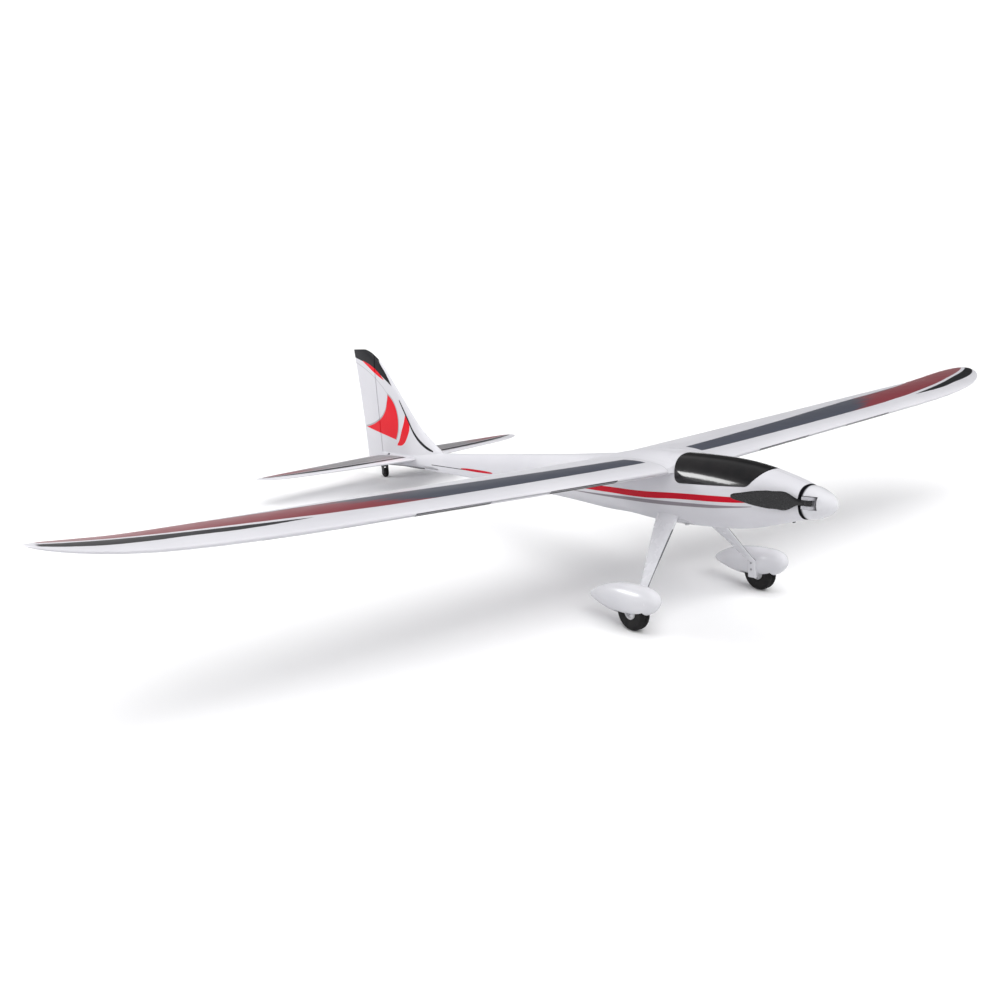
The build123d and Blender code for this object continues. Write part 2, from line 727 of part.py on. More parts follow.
def spinner_backplate():
    """Back plate, hub and the forked yoke that holds the blade pins."""
    plate = rod((0, BACKPLATE_FRONT_Y, 0), (0, BACKPLATE_REAR_Y, 0), SPINNER_RADIUS)
    for side in (-1, 1):
        plate -= Pos(side * 24, -181, 0) * Box(15, 10, 2 * YOKE_HALF_HEIGHT + 1.4)
    hub = rod((0, HUB_FRONT_Y, 0), (0, BACKPLATE_REAR_Y, 0), 6.0)
    top = YOKE_HALF_HEIGHT
    front = PIN_Y - YOKE_HALF_DEPTH
    yoke = block(-YOKE_HALF_WIDTH, YOKE_HALF_WIDTH, front, PIN_Y + YOKE_HALF_DEPTH, -top, top)
    yoke += block(-15, 15, front, BACKPLATE_FRONT_Y, -top, top)
    slot = TONGUE_HALF_HEIGHT + TONGUE_GAP
    for side in (-1, 1):
        yoke -= Pos(side * 21.5, PIN_Y, 0) * Box(19, 30, 2 * slot)
    part = plate + hub + yoke
    part -= rod((0, -200, 0), (0, -170, 0), SHAFT_RADIUS)
    for side in (-1, 1):
        x = side * PIN_X
        part -= rod((x, PIN_Y, -10), (x, PIN_Y, 10), PIN_RADIUS)
    return part


def blade_pins():
    """One pin through each end of the yoke."""
    top = YOKE_HALF_HEIGHT + 0.4
    pins = [rod((s * PIN_X, PIN_Y, -top), (s * PIN_X, PIN_Y, top), PIN_RADIUS) for s in (-1, 1)]
    return Compound(pins)


def spinner_profile(radius, tip_y, base_y):
    """Half outline of the ogive nose."""
    shoulder = (radius, base_y)
    nose = (0, tip_y)
    curve = Spline(shoulder, (radius * 0.78, base_y - 16), nose, tangents=[(-0.05, -1), (-1, -0.12)])
    return make_face([curve, Line(nose, (0, base_y)), Line((0, base_y), shoulder)])


def spinner_cone():
    """Hollow ogive with notches for the yoke and blades."""
    outline = spinner_profile(SPINNER_RADIUS, SPINNER_TIP_Y, BACKPLATE_FRONT_Y)
    inner_radius = SPINNER_RADIUS - SPINNER_WALL
    hollow = spinner_profile(inner_radius, SPINNER_TIP_Y + 8, BACKPLATE_FRONT_Y + 1)
    cone = revolve(outline, Axis.Y) - revolve(hollow, Axis.Y)
    return cone - blade_cutout(YOKE_HALF_HEIGHT + 0.7)


def blade():
    """Left blade folded back beside the nose, its root tongue on the pin."""
    wires = []
    for reach, chord, thick, pitch in BLADE_SECTIONS:
        across = (cos(radians(pitch)), 0, sin(radians(pitch)))
        plane = Plane(origin=(0, reach, 0), x_dir=across, z_dir=(0, 1, 0))
        wires.append((plane * Ellipse(thick / 2, chord / 2)).wire())
    paddle = Solid.make_loft(wires)
    tongue = rod((0, 0, -TONGUE_HALF_HEIGHT), (0, 0, TONGUE_HALF_HEIGHT), TONGUE_RADIUS)
    tongue += block(-2.0, 2.0, 0, 7, -TONGUE_HALF_HEIGHT, TONGUE_HALF_HEIGHT)
    tongue -= rod((0, 0, -9), (0, 0, 9), PIN_RADIUS + RUNNING_CLEARANCE)
    return Pos(PIN_X, PIN_Y, 0) * Rot(Z=-BLADE_FOLD) * (paddle + tongue)


def clocked(shape):
    """Turn a propeller part about the thrust line to where the propeller stopped."""
    return Rot(Y=PROP_CLOCK) * shape


# ---------------------------------------------------------------- equipment
def battery_tray():
    return block(-14, 14, -118, 66, TRAY_TOP - TRAY_THICKNESS, TRAY_TOP)


def battery():
    half = BATTERY_HALF_WIDTH
    top = TRAY_TOP + BATTERY_HEIGHT
    pack = block(-half, half, BATTERY_FRONT_Y, BATTERY_REAR_Y, TRAY_TOP, top)
    return fillet(pack.edges(), 2.5)


def battery_strap():
    """Band round the battery and the tray."""
    half = BATTERY_HALF_WIDTH
    low = TRAY_TOP - TRAY_THICKNESS
    high = TRAY_TOP + BATTERY_HEIGHT
    thick = STRAP_THICKNESS
    outer = block(-half - thick, half + thick, -66, -48, low - thick, high + thick)
    return outer - block(-half, half, -70, -40, low, high)


def speed_controller():
    case = block(-13, 11, 2, 50, TRAY_TOP, TRAY_TOP + CONTROLLER_HEIGHT)
    return fillet(case.edges(), 1.5)


def receiver():
    low = TRAY_TOP + CONTROLLER_HEIGHT
    case = block(-10, 12, 8, 46, low, low + RECEIVER_HEIGHT)
    return fillet(case.edges(), 1.2)


# ---------------------------------------------------------------- undercarriage
def leg_section(centre, chord, thickness):
    """Streamlined section square to the leg."""
    axis = Vector(*LEG_FOOT) - Vector(*LEG_ROOT)
    plane = Plane(origin=centre, x_dir=(0, 1, 0), z_dir=axis)
    ellipse = plane * Ellipse(chord / 2, thickness / 2)
    return ellipse.wire()


def leg():
    """Left leg fairing, wide at the belly and slim at the pant."""
    root = Vector(*LEG_ROOT)
    foot = Vector(*LEG_FOOT)
    wires = []
    for share, chord, thickness in LEG_SECTIONS:
        wires.append(leg_section(root + (foot - root) * share, chord, thickness))
    return Solid.make_loft(wires)


def gear_wire_points():
    """Run of the bent wire from the middle of the gear block to the end of the left axle."""
    foot_x = WHEEL_X - WHEEL_WIDTH / 2 - 5.5
    return [
        (0, LEG_ROOT[1], GEAR_WIRE_Z),
        (GEAR_WIRE_BEND_X, LEG_ROOT[1], GEAR_WIRE_Z),
        (LEG_FOOT[0], LEG_FOOT[1], -111.0),
        (foot_x, WHEEL_Y, WHEEL_Z),
        (WHEEL_X + WHEEL_WIDTH / 2 + 3.0, WHEEL_Y, WHEEL_Z),
    ]


def gear_wire():
    """One spring-steel wire: across the belly, down both legs, and out as the wheel axles."""
    half = bent_rod(gear_wire_points(), WIRE_RADIUS)
    return half + mirrored(half)


def gear_block_blank():
    """Recess through the belly for the gear block."""
    body = block(-26, 26, -16, 38, -60.0, GEAR_BLOCK_TOP)
    return fillet(body.edges().filter_by(Axis.Z), 8)


def gear_block():
    """Block that holds the wire, shaped flush with the belly."""
    return gear_block_blank() & fuselage_body(0, FIREWALL_Y, TAIL_END_Y)


def leg_fairing():
    return leg() - gear_block() - gear_wire()


def pant_section(y, half_width, top, bottom):
    plane = Plane(origin=(WHEEL_X, y, (top + bottom) / 2), x_dir=(1, 0, 0), z_dir=(0, 1, 0))
    return (plane * Ellipse(half_width, (top - bottom) / 2)).wire()


def wheel_pant():
    """Teardrop fairing over the left wheel, open below."""
    shell = Solid.make_loft([pant_section(*station) for station in PANT_STATIONS])
    inner = WHEEL_X - WELL_HALF_WIDTH
    outer = WHEEL_X + WELL_HALF_WIDTH
    radius = WHEEL_RADIUS + WELL_CLEARANCE
    well = rod((inner, WHEEL_Y, WHEEL_Z), (outer, WHEEL_Y, WHEEL_Z), radius)
    well += block(inner, outer, WHEEL_Y - radius, WHEEL_Y + radius, WHEEL_Z - 30, WHEEL_Z)
    return shell - well - leg() - gear_wire()


def tyre(centre, radius, width, rim):
    """Ring tyre with a rounded tread, about an axle along X."""
    x, y, z = centre
    edge = width * 0.3
    ring = rod((x - width / 2, y, z), (x + width / 2, y, z), radius)
    ring = fillet(ring.edges().filter_by(GeomType.CIRCLE), edge)
    return ring - rod((x - width, y, z), (x + width, y, z), rim)


def hub(centre, width, rim, bore):
    x, y, z = centre
    disc = rod((x - width / 2, y, z), (x + width / 2, y, z), rim)
    return disc - rod((x - width, y, z), (x + width, y, z), bore)


def wheel_collar():
    """Collar on the end of the left axle."""
    x = WHEEL_X + WHEEL_WIDTH / 2 + 0.4
    ring = rod((x, WHEEL_Y, WHEEL_Z), (x + 1.4, WHEEL_Y, WHEEL_Z), 3.2)
    return ring - rod((x - 1, WHEEL_Y, WHEEL_Z), (x + 5, WHEEL_Y, WHEEL_Z), WIRE_RADIUS)


def tail_fork():
    """Bracket under the rudder with two cheeks and the tail wheel's axle."""
    half = FORK_ARM_X + 0.6
    front = RUDDER_HINGE_Y + 3
    top = RUDDER_BOTTOM_Z
    fork = block(-half, half, RUDDER_HINGE_Y + 2, RUDDER_HINGE_Y + 20, top - 3, top)
    fork += block(-half, half, front, RUDDER_HINGE_Y + 11, top - 9, top)
    for side in (-1, 1):
        x0, x1 = sorted((side * (FORK_ARM_X - 0.8), side * half))
        fork += block(x0, x1, front, RUDDER_HINGE_Y + 10, TAIL_WHEEL_Z - 2, top)
    axle_start = (-FORK_ARM_X, TAIL_WHEEL_Y, TAIL_WHEEL_Z)
    axle_end = (FORK_ARM_X, TAIL_WHEEL_Y, TAIL_WHEEL_Z)
    return fork + rod(axle_start, axle_end, TAIL_AXLE_RADIUS)


def gear_screws():
    """Screws that hold the gear block to the shells."""
    screws = []
    for x in (-18, 18):
        for y in (-6, 31):
            head = rod((x, y, GEAR_SCREW_FACE_Z - 1.5), (x, y, GEAR_SCREW_FACE_Z), 2.8)
            shank = rod((x, y, GEAR_SCREW_FACE_Z - 1.5), (x, y, GEAR_BLOCK_TOP - 1), 1.2)
            screws.append(head + shank)
    return Compound(screws)


# ---------------------------------------------------------------- build and export
def build_parts():
    shell = fuselage_half()
    wing = wing_panel()
    flap = aileron()
    frame = aileron_frame().location
    half_elevator = elevator() - elevator_joiner()
    fairing = leg_fairing()
    pant = wheel_pant()
    collar = wheel_collar()
    wheel_tyre = tyre(WHEEL_CENTRE, WHEEL_RADIUS, WHEEL_WIDTH, HUB_RADIUS)
    wheel_hub = hub(WHEEL_CENTRE, WHEEL_WIDTH, HUB_RADIUS, WIRE_RADIUS + RUNNING_CLEARANCE)
    tail_tyre = tyre(TAIL_WHEEL_CENTRE, TAIL_WHEEL_RADIUS, TAIL_WHEEL_WIDTH, TAIL_HUB_RADIUS)
    tail_bore = TAIL_AXLE_RADIUS + RUNNING_CLEARANCE
    tail_hub = hub(TAIL_WHEEL_CENTRE, TAIL_WHEEL_WIDTH, TAIL_HUB_RADIUS, tail_bore)
    servo_place = frame * Pos(0, WING_SERVO_Y, WING_SERVO_Z)
    wing_servo = servo_place * servo()
    wing_arm = servo_place * servo_arm(WING_ARM)
    wing_horn = frame * Pos(0.4, 0, 0) * horn(WING_ARM, 18, -5.5)
    push = frame * wing_rod()
    folded = blade()
    flap -= wing_horn
    return {
        "fuselage_left": shell - rod_exit(RUDDER_ROD),
        "fuselage_right": mirrored(shell) - rod_exit(ELEVATOR_ROD),
        "canopy_hatch": canopy_hatch(),
        "wing_left": wing,
        "wing_right": mirrored(wing),
        "spar_tube": spar_tube(),
        "aileron_left": flap,
        "aileron_right": mirrored(flap),
        "aileron_servo_left": wing_servo,
        "aileron_servo_right": mirrored(wing_servo),
        "aileron_servo_arm_left": wing_arm,
        "aileron_servo_arm_right": mirrored(wing_arm),
        "aileron_pushrod_left": push,
        "aileron_pushrod_right": mirrored(push),
        "aileron_horn_left": wing_horn,
        "aileron_horn_right": mirrored(wing_horn),
        "stabilizer": stab_panel(),
        "elevator_left": half_elevator,
        "elevator_right": mirrored(half_elevator) - elevator_horn(),
        "elevator_joiner": elevator_joiner(),
        "elevator_horn": elevator_horn(),
        "elevator_servo": elevator_servo_place() * mirrored(servo()),
        "elevator_servo_arm": elevator_servo_place() * mirrored(servo_arm(ELEVATOR_ARM)),
        "elevator_pushrod": elevator_rod(),
        "rudder": rudder() - rudder_horn(),
        "rudder_horn": rudder_horn(),
        "rudder_servo": rudder_servo_place() * servo(),
        "rudder_servo_arm": rudder_servo_place() * Rot(X=180) * servo_arm(RUDDER_ARM),
        "rudder_pushrod": rudder_rod(),
        "motor_mount": motor_mount(),
        "motor_screws": motor_screws(),
        "motor_stator": motor_stator(),
        "motor_bell": motor_bell(),
        "spinner_backplate": clocked(spinner_backplate()),
        "spinner_cone": clocked(spinner_cone()),
        "blade_pins": clocked(blade_pins()),
        "blade_left": clocked(folded),
        "blade_right": clocked(Rot(Y=180) * folded),
        "battery_tray": battery_tray(),
        "battery": battery(),
        "battery_strap": battery_strap(),
        "speed_controller": speed_controller(),
        "receiver": receiver(),
        "gear_block": gear_block() - gear_wire() - gear_screws(),
        "gear_screws": gear_screws(),
        "gear_wire": gear_wire(),
        "leg_fairing_left": fairing,
        "leg_fairing_right": mirrored(fairing),
        "wheel_pant_left": pant,
        "wheel_pant_right": mirrored(pant),
        "tyre_left": wheel_tyre,
        "tyre_right": mirrored(wheel_tyre),
        "hub_left": wheel_hub,
        "hub_right": mirrored(wheel_hub),
        "wheel_collars": Compound([collar, mirrored(collar)]),
        "tail_fork": tail_fork(),
        "tail_tyre": tail_tyre,
        "tail_hub": tail_hub,
    }


os.makedirs("parts", exist_ok=True)
for name, shape in build_parts().items():
    export_step(stand(shape), f"parts/{name}.step")
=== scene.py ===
"""Looks of the electric model glider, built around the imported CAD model.

Everything is in metres in the row frame. The painted trim is worked out in the aeroplane's own flight
frame (X to the left tip, Y aft, Z up, thrust line through the origin), in millimetres.
"""

import math

import bmesh
import bpy
from mathutils import Matrix, Vector

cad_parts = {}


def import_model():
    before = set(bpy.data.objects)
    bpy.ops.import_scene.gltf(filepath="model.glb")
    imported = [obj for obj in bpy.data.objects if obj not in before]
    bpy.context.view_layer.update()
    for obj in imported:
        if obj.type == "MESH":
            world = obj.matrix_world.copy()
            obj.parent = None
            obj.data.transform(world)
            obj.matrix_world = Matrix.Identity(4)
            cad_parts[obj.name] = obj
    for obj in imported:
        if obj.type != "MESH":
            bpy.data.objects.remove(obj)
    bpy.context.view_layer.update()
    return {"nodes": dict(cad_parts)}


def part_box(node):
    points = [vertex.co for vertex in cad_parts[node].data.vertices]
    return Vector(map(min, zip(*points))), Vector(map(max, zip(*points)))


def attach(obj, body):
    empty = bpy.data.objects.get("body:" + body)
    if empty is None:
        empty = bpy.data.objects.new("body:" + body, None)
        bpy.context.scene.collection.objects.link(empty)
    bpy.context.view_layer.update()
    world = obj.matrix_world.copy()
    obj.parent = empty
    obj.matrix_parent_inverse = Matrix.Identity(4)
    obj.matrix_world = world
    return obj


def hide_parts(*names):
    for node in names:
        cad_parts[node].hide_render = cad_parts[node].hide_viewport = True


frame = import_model()

# ---------------------------------------------------------------- driving dimensions
MM = 0.001
STANCE_PITCH = math.radians(8.0)
STANCE_Y = -0.304179
STANCE_Z = 0.15103
FLIGHT = Matrix.Translation((0, STANCE_Y, STANCE_Z)) @ Matrix.Rotation(-STANCE_PITCH, 4, "X")

ROOT_SEAM_X = 42.0
WING_FRONT = [(42, -3.1), (475, 0.9), (560, 6.0), (655, 22.0), (715, 50.0), (750, 113.0)]

CAMERA_PLACE = (-0.99983, -1.25180, 0.54936)
CAMERA_AZIMUTH = -36.718
CAMERA_ELEVATION = 16.971
CAMERA_LENS = 41.70

# Light and surroundings
FLOOR_BOUNCE = (0.78, 0.78, 0.79)
BACKDROP = 1.1
WALL_LIGHT = 0.88
CEILING_LIGHT = 0.27
CEILING_START = 0.38
CEILING_BLEND = 0.50
GAP_DIRECTION = (0.80, 0.60)
GAP_START = 0.83
GAP_BLEND = 0.20
GAP_DEPTH = 0.92
KEY_STRENGTH = 2.9
KEY_SPREAD = math.radians(75)
KEY_DIRECTION = (0.02, -0.42, 1.0)
SOFTBOX_PLACE = (-1.6, 1.6, 0.95)
SOFTBOX_TARGET = (0.0, -0.38, 0.19)
SOFTBOX_WIDTH = 1.3
SOFTBOX_HEIGHT = 0.42
SOFTBOX_POWER = 20.0

# Edges above this angle stay sharp
SMOOTH_ANGLE = math.radians(32)

# Outlines of the red shapes on the fin, (y, z) for the sail and (z, y) for the leaf, flight frame, mm
SAIL_HOLLOW = [
    (697.8, 99.9), (699.1, 89.1), (702.9, 80.3), (705.9, 73.7), (713.2, 64.7),
    (725.6, 55.4), (742.2, 48.1), (760.8, 42.3), (779.3, 38.5),
]
LEAF_FRONT = [(10.9, 668.6), (16.7, 654.5), (27, 644.6), (40.2, 637.4), (50.8, 637.0), (64.1, 647.7)]
LEAF_BACK = [(10.9, 680.0), (14.3, 677.4), (18.9, 672.4), (34.6, 662.5), (50.1, 653.2), (64.1, 647.8)]

# Colours, linear
WHITE = (0.650, 0.646, 0.680)
WHITE_SHADE = (0.615, 0.611, 0.648)
PLASTIC_WHITE = (0.665, 0.665, 0.695)
PLASTIC_SHADE = (0.632, 0.632, 0.666)
SLATE = (0.070, 0.076, 0.100)
RED = (0.50, 0.003, 0.018)
FIN_RED = (0.72, 0.003, 0.014)
WING_RED = (0.225, 0.040, 0.052)
PINK_GREY = (0.27, 0.12, 0.13)
TRIM_BLACK = (0.010, 0.010, 0.013)
STRIPE_GREY = (0.250, 0.225, 0.250)
SOFT_GREY = (0.30, 0.30, 0.32)
TAIL_GREY = (0.215, 0.210, 0.222)


# ---------------------------------------------------------------- fields: arithmetic in a material
class Field:
    """A number that a material works out at each point of a surface."""

    def __init__(self, tree, socket):
        self.tree = tree
        self.socket = socket

    def using(self, operation, other=0.0):
        node = self.tree.nodes.new("ShaderNodeMath")
        node.operation = operation
        self.tree.links.new(self.socket, node.inputs[0])
        if isinstance(other, Field):
            self.tree.links.new(other.socket, node.inputs[1])
        else:
            node.inputs[1].default_value = other
        return Field(self.tree, node.outputs[0])

    def __add__(self, other):
        return self.using("ADD", other)

    def __sub__(self, other):
        return self.using("SUBTRACT", other)

    def __rsub__(self, other):
        return self.using("MULTIPLY", -1.0) + other

    def __mul__(self, other):
        return self.using("MULTIPLY", other)

    def __truediv__(self, other):
        return self.using("DIVIDE", other)

    def __abs__(self):
        return self.using("ABSOLUTE")

    def __or__(self, other):
        """Whichever mask is stronger."""
        return self.using("MAXIMUM", other)

    def above(self, edge, soft=0.35):
        """1 above the edge and 0 below it, with a soft step between."""
        node = self.tree.nodes.new("ShaderNodeMapRange")
        node.interpolation_type = "SMOOTHSTEP"
        node.inputs["From Min"].default_value = -soft / 2
        node.inputs["From Max"].default_value = soft / 2
        self.tree.links.new((self - edge).socket, node.inputs["Value"])
        return Field(self.tree, node.outputs["Result"])

    def below(self, edge, soft=0.35):
        return 1 - self.above(edge, soft)

    def between(self, low, high, soft=0.35):
        return self.above(low, soft) * self.below(high, soft)

    def along(self, points):
        """Smooth curve through (place, value) points, read at this field."""
        first, last = points[0][0], points[-1][0]
        values = [value for _, value in points]
        low, high = min(values), max(values)
        node = self.tree.nodes.new("ShaderNodeFloatCurve")
        curve = node.mapping.curves[0]
        spots = [((p - first) / (last - first), (v - low) / (high - low)) for p, v in points]
        curve.points[0].location = spots[0]
        curve.points[1].location = spots[-1]
        for spot in spots[1:-1]:
            curve.points.new(*spot)
        node.mapping.update()
        self.tree.links.new(((self - first) / (last - first)).socket, node.inputs["Value"])
        return Field(self.tree, node.outputs["Value"]) * (high - low) + low


def distance(a, b, centre):
    """Distance of the point (a, b) from a centre."""
    across = a - centre[0]
    upward = b - centre[1]
    return (across * across + upward * upward).using("SQRT")


def object_point(tree):
    """The surface point in the object's own frame, as three fields in metres."""
    coordinates = tree.nodes.new("ShaderNodeTexCoord")
    split = tree.nodes.new("ShaderNodeSeparateXYZ")
    tree.links.new(coordinates.outputs["Object"], split.inputs[0])
    return [Field(tree, output) for output in split.outputs]


def object_normal(tree):
    coordinates = tree.nodes.new("ShaderNodeTexCoord")
    split = tree.nodes.new("ShaderNodeSeparateXYZ")
    tree.links.new(coordinates.outputs["Normal"], split.inputs[0])
    return [Field(tree, output) for output in split.outputs]


def flight_point(tree):
    """The surface point in the flight frame, in millimetres."""
    x, y, z = object_point(tree)
    aft = y - STANCE_Y
    up = z - STANCE_Z
    cosine = math.cos(STANCE_PITCH) / MM
    sine = math.sin(STANCE_PITCH) / MM
    return x * (1 / MM), aft * cosine - up * sine, aft * sine + up * cosine


def vector_of(tree, x, y, z):
    node = tree.nodes.new("ShaderNodeCombineXYZ")
    for socket, value in zip(node.inputs, (x, y, z)):
        if isinstance(value, Field):
            tree.links.new(value.socket, socket)
        else:
            socket.default_value = value
    return node.outputs[0]


def noise(tree, vector, scale, detail=3.0):
    node = tree.nodes.new("ShaderNodeTexNoise")
    node.inputs["Scale"].default_value = scale
    node.inputs["Detail"].default_value = detail
    tree.links.new(vector, node.inputs["Vector"])
    return Field(tree, node.outputs["Fac"])


def cells(tree, vector, scale):
    node = tree.nodes.new("ShaderNodeTexVoronoi")
    node.inputs["Scale"].default_value = scale
    tree.links.new(vector, node.inputs["Vector"])
    return Field(tree, node.outputs["Distance"])


def object_vector(tree):
    return tree.nodes.new("ShaderNodeTexCoord").outputs["Object"]


# ---------------------------------------------------------------- materials
class Paint:
    """A principled material whose colour is built up in layers."""

    def __init__(self, name, colour, roughness, metallic=0.0, coat=0.0, coat_roughness=0.1, specular=0.5):
        self.material = bpy.data.materials.new(name)
        self.material.use_nodes = True
        self.tree = self.material.node_tree
        self.shader = self.tree.nodes["Principled BSDF"]
        self.shader.inputs["Roughness"].default_value = roughness
        self.shader.inputs["Metallic"].default_value = metallic
        self.shader.inputs["Coat Weight"].default_value = coat
        self.shader.inputs["Coat Roughness"].default_value = coat_roughness
        self.shader.inputs["Specular IOR Level"].default_value = specular
        self.colour = None
        self.base = colour

    def layer(self, colour, mask):
        """Lay a colour over what is there, as strong as the mask."""
        node = self.tree.nodes.new("ShaderNodeMix")
        node.data_type = "RGBA"
        node.clamp_factor = True
        self.tree.links.new(mask.socket, node.inputs["Factor"])
        if self.colour is None:
            node.inputs["A"].default_value = (*self.base, 1)
        else:
            self.tree.links.new(self.colour, node.inputs["A"])
        node.inputs["B"].default_value = (*colour, 1)
        self.colour = node.outputs["Result"]
        self.tree.links.new(self.colour, self.shader.inputs["Base Color"])

    def roughen(self, field, low, high):
        """Roughness that follows a field from low to high."""
        self.tree.links.new((field * (high - low) + low).socket, self.shader.inputs["Roughness"])

    def bump(self, height, depth, strength=1.0):
        node = self.tree.nodes.new("ShaderNodeBump")
        node.inputs["Strength"].default_value = strength
        node.inputs["Distance"].default_value = depth
        self.tree.links.new(height.socket, node.inputs["Height"])
        self.tree.links.new(node.outputs["Normal"], self.shader.inputs["Normal"])


def foam_skin(name, specular=0.10):
    """White moulded foam under a satin film: faint beads, faint unevenness of tone and gloss."""
    paint = Paint(name, WHITE, 0.36, specular=specular)
    vector = object_vector(paint.tree)
    beads = cells(paint.tree, vector, 330.0)
    waves = noise(paint.tree, vector, 9.0)
    paint.layer(WHITE_SHADE, waves.between(0.45, 0.95, 0.3))
    paint.roughen(noise(paint.tree, vector, 45.0), 0.30, 0.42)
    paint.bump(beads + waves * 2.0, 0.00004, 0.35)
    return paint


def wing_skin():
    """Wings and ailerons: the spanwise stripe turning from slate to red, tip blade, lower bars, and a
    painted shade line along the lower leading edge.
    """
    paint = foam_skin("wing_foam", 0.45)
    tree = paint.tree
    x, y, z = flight_point(tree)
    span = abs(x)
    normal_z = object_normal(tree)[2]
    top = normal_z.above(0.02, 0.06)
    white_line = span.along([(484, 27.5), (574, 45), (656, 71), (720, 91), (750, 110)])
    outboard = span.above(484, 1.0)
    inner_front = span.along([(42, 31), (200, 24), (380, 25), (450, 29), (484, 31.5)])
    front = inner_front * (1 - outboard) + (white_line + 4) * outboard
    back = span.along([
        (42, 61), (240, 71), (340, 83), (420, 93), (540, 105), (600, 120), (650, 145), (750, 190),
    ])
    slanted_end = (span - (y - 31) * 0.15).above(49.0, 0.5)
    stripe = y.between(front, back) * slanted_end * span.below(738, 8.0) * top
    streak_vector = vector_of(tree, span * 0.005, y * 0.16, 0.0)
    streaks = noise(tree, streak_vector, 1.0, 2.0)
    reddening = (span + (streaks - 0.5) * 260 + (back - y) * 1.6).above(475, 24.0)
    paint.layer(SLATE, stripe)
    paint.layer(WING_RED, stripe * reddening)
    paint.layer(SLATE, stripe * reddening * (back - y).below(5.0, 3.0) * span.below(560, 80.0))
    paint.layer(PINK_GREY, stripe * span.above(675, 110.0) * 0.75)
    blade_front = span.along([(484, 27), (560, 27.5), (625, 42), (653, 48), (702, 63), (750, 104)])
    blade_mask = y.between(blade_front, white_line - 3) * span.between(488, 742, 4.0) * top
    paint.layer(TRIM_BLACK, blade_mask)
    below = 1 - top
    front_edge = span.along(WING_FRONT)
    bars = span.between(122, 220) | span.between(300, 395)
    paint.layer(TRIM_BLACK, bars * below * y.below(88, 0.5))
    # Grey line along the lower leading edge: painted shade of the underside. thin_bar adds a short grey bar
    # further aft, outboard.
    leading_edge_shade_line = span.between(60, 480) * y.between(front_edge + 2.5, front_edge + 4.0)
    thin_bar = span.between(462, 560) * y.between(front_edge + 5.0, front_edge + 11.0)
    paint.layer(SOFT_GREY, (leading_edge_shade_line | thin_bar) * below * 0.8)
    seam = abs(span - ROOT_SEAM_X).below(0.35, 0.4)
    paint.layer(SOFT_GREY, seam * 0.8)
    return paint.material


def side_stripes(paint, y, z, side):
    """Red and grey stripes along both sides of the fuselage."""
    red_top = y.along([
        (-135, 4.6), (-78.2, 2.9), (-13.8, 0.6), (73, -3.7), (123, -4.5), (157, -5.3), (190.6, -12.0),
    ])
    red_bottom = y.along([
        (-135, 2.6), (-118, -1.2), (-77.7, -4.2), (-13.3, -6.8),
        (74, -11.8), (124, -12.1), (158, -12.3), (190.6, -12.4),
    ])
    paint.layer(RED, z.between(red_bottom, red_top) * y.between(-134, 190) * side)
    grey_top = y.along([
        (-121.4, -5.5), (-45.8, -9.5), (75, -13.6), (125, -15.5), (183, -17), (209.4, -17.9),
    ])
    grey_bottom = y.along([
        (-121.4, -6.0), (-95, -9.4), (-45.8, -13.7), (75, -18.1), (125, -18.6), (209.4, -18.1),
    ])
    paint.layer(STRIPE_GREY, z.between(grey_bottom, grey_top) * y.between(-121, 209) * side)


def boom_lines(paint, y, z, side):
    """Pinstripes of the rear fuselage: one under the tailplane, one drawn out into a red dart."""
    under_tail = y.along([(599, -22.4), (681, -26.2)])
    paint.layer(TRIM_BLACK, abs(z - under_tail).below(1.0) * y.between(599, 681, 1.0) * side)
    lead = abs(z + 13.6).below(0.55) * y.between(470, 572, 2.0)
    dart_half = y.along([(398, 0.1), (440, 2.0), (486, 0.2)])
    dart = (abs(z + 12.6) - dart_half).below(0.0) * y.between(398, 486, 1.0)
    paint.layer(TRIM_BLACK, lead * side)
    paint.layer(RED, dart * side)


def fin_trim(paint, y, z):
    """Fin and rudder: black cap, red sliver, a painted shade line under the sliver, two red sails and the
    dark line inside the leading edge.
    """
    on_fin = z.above(2.0) * y.above(560)
    cap_bottom = y.along([(685, 111), (716, 129), (741, 142), (795, 157)])
    cap_front = z.along([(108, 682), (131, 700), (151, 719), (160, 726), (174, 738)])
    paint.layer(TRIM_BLACK, z.above(cap_bottom) * y.above(cap_front) * on_fin)
    sliver_top = y.along([(706, 121), (740, 143), (774, 153.5)])
    sliver_bottom = y.along([(706, 120), (733, 131.5), (757, 144), (774, 152.5)])
    paint.layer(FIN_RED, z.between(sliver_bottom, sliver_top) * y.between(707, 773) * on_fin)
    # Thin light grey line under the red sliver: painted shade.
    fin_shade_line = y.along([(694, 94), (720, 115), (750, 132), (790, 147)])
    paint.layer(SOFT_GREY, abs(z - fin_shade_line).below(0.8) * y.above(694) * on_fin * 0.55)
    hollow = y.along(SAIL_HOLLOW)
    belly = distance(y, z, (716.8, 53.3))
    foot = z.above((y - 684) * 0.168 + 21)
    outline = z.below(hollow + 2.7) * (belly.below(49.2) | y.above(717)) * z.below(101)
    sail = z.below(hollow) * (belly.below(46.8) | y.above(717)) * z.below(98) * foot
    paint.layer(SOFT_GREY, outline * foot * y.below(785) * on_fin * 0.8)
    paint.layer(FIN_RED, sail * y.below(782) * on_fin)
    leaf = y.between(z.along(LEAF_FRONT), z.along(LEAF_BACK)) * z.between(11, 64)
    paint.layer(FIN_RED, leaf * on_fin)
    edge_line = y.along([(570, 7), (598, 16), (623, 33), (642, 58), (664, 88)])
    weight = y.along([(570, 1.0), (610, 3.0), (640, 3.0), (664, 0.4)])
    paint.layer(TRIM_BLACK, (abs(z - edge_line) - weight).below(0.0, 0.6) * y.between(571, 664) * on_fin)


